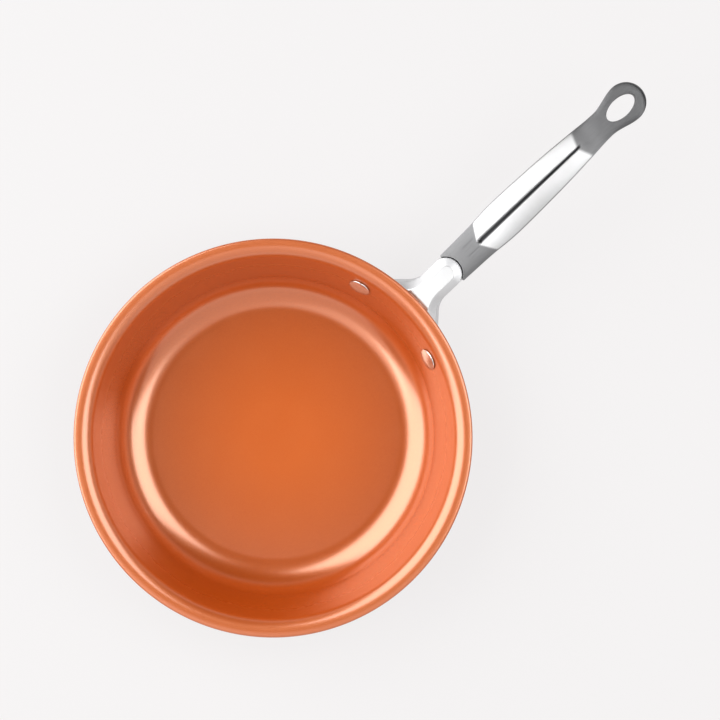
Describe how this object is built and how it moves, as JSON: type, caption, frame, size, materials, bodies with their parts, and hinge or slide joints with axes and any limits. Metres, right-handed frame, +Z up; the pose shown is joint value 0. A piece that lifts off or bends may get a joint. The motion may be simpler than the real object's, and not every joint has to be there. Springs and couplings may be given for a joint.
{
  "type": "frying pan",
  "caption": "Shallow frying pan with a leaning wall, rolled pouring lip, copper-coloured non-stick bowl and a riveted hollow steel handle with a hanging eye.",
  "frame": {"origin": "centre of the base, on the surface that the pan stands on", "axes": "+Z up out of the bowl, +X out along the handle, mirror plane XZ"},
  "size_m": [0.4209, 0.24, 0.0717],
  "materials": {
    "copper_ceramic_coat": "satin",
    "polished_steel": "polished",
    "brushed_steel": "satin",
    "base_steel": "satin"
  },
  "bodies": {
    "root": {"pan_body": "copper_ceramic_coat", "induction_base_plate": "base_steel", "handle_bracket": "polished_steel", "rivet_left": "polished_steel", "rivet_right": "polished_steel", "grip_upper_shell": "brushed_steel", "grip_lower_shell": "brushed_steel"}
  },
  "joints": []
}
